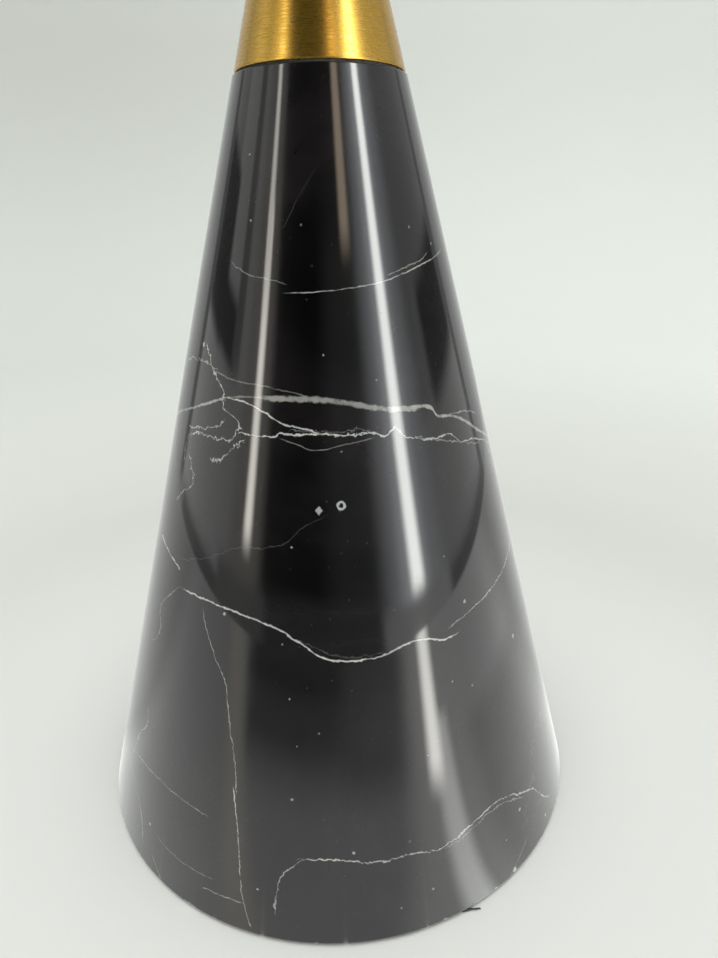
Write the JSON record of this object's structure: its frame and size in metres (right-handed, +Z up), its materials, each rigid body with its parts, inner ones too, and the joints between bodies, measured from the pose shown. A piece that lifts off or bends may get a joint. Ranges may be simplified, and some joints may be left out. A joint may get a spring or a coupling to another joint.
{
  "type": "round pedestal table",
  "caption": "Small round table: a tapered black stone pedestal with a brass neck and slim stem under a round stone top, with levelling glides in the foot.",
  "frame": {"origin": "on the floor under the centre of the table, which is the bottom centre of its box", "axes": "+Z up the axis of the table; it is round, and the small grub screw in the stem's ring faces +Y, the back"},
  "size_m": [0.3999, 0.4, 0.6],
  "materials": {
    "cone_stone": "polished",
    "top_stone": "polished",
    "neck_brass": "satin",
    "stem_brass": "satin",
    "ring_brass": "gloss",
    "insert_brass": "satin",
    "zinc_steel": "satin",
    "black_steel": "matte",
    "black_felt": "matte",
    "black_rubber": "matte",
    "pad_nylon": "matte"
  },
  "bodies": {
    "table": {"stone_cone": "cone_stone", "base_plate": "black_steel", "glide_nuts": "zinc_steel", "felt_ring": "black_felt", "tie_rod": "zinc_steel", "rod_nut": "zinc_steel", "rod_spring_washer": "zinc_steel", "rod_washer": "zinc_steel", "neck_gasket": "black_rubber", "spreader_plate": "black_steel", "brass_neck": "neck_brass", "stem_tube": "stem_brass", "neck_ring": "ring_brass", "ring_grub_screw": "zinc_steel", "upper_collar": "ring_brass", "top_flange": "black_steel", "rod_thin_nut": "zinc_steel", "top_pad": "black_rubber", "top_inserts": "insert_brass", "top_washers": "zinc_steel", "top_screws": "zinc_steel", "table_top": "top_stone"},
    "glide_foot_1": {"glide_pad_1": "pad_nylon"},
    "glide_screw_1": {"glide_stud_1": "zinc_steel"},
    "glide_foot_2": {"glide_pad_2": "pad_nylon"},
    "glide_screw_2": {"glide_stud_2": "zinc_steel"},
    "glide_foot_3": {"glide_pad_3": "pad_nylon"},
    "glide_screw_3": {"glide_stud_3": "zinc_steel"},
    "glide_foot_4": {"glide_pad_4": "pad_nylon"},
    "glide_screw_4": {"glide_stud_4": "zinc_steel"}
  },
  "joints": [
    {"name": "glide_1_travel", "type": "slide", "parent": "table", "child": "glide_foot_1", "axis": [0, 0, -1], "range_m": [0, 0.012]},
    {"name": "glide_1_turn", "type": "hinge", "parent": "glide_foot_1", "child": "glide_screw_1", "pos_m": [0.0693, 0.0693, 0.0085], "axis": [0, 0, -1], "range_deg": [0, 3456]},
    {"name": "glide_2_travel", "type": "slide", "parent": "table", "child": "glide_foot_2", "axis": [0, 0, -1], "range_m": [0, 0.012]},
    {"name": "glide_2_turn", "type": "hinge", "parent": "glide_foot_2", "child": "glide_screw_2", "pos_m": [-0.0693, 0.0693, 0.0085], "axis": [0, 0, -1], "range_deg": [0, 3456]},
    {"name": "glide_3_travel", "type": "slide", "parent": "table", "child": "glide_foot_3", "axis": [0, 0, -1], "range_m": [0, 0.012]},
    {"name": "glide_3_turn", "type": "hinge", "parent": "glide_foot_3", "child": "glide_screw_3", "pos_m": [-0.0693, -0.0693, 0.0085], "axis": [0, 0, -1], "range_deg": [0, 3456]},
    {"name": "glide_4_travel", "type": "slide", "parent": "table", "child": "glide_foot_4", "axis": [0, 0, -1], "range_m": [0, 0.012]},
    {"name": "glide_4_turn", "type": "hinge", "parent": "glide_foot_4", "child": "glide_screw_4", "pos_m": [0.0693, -0.0693, 0.0085], "axis": [0, 0, -1], "range_deg": [0, 3456]}
  ],
  "couplings": [
    {"joint": "glide_1_travel", "follows": "glide_1_turn", "m_per_rad": 0.00019894},
    {"joint": "glide_2_travel", "follows": "glide_2_turn", "m_per_rad": 0.00019894},
    {"joint": "glide_3_travel", "follows": "glide_3_turn", "m_per_rad": 0.00019894},
    {"joint": "glide_4_travel", "follows": "glide_4_turn", "m_per_rad": 0.00019894}
  ]
}
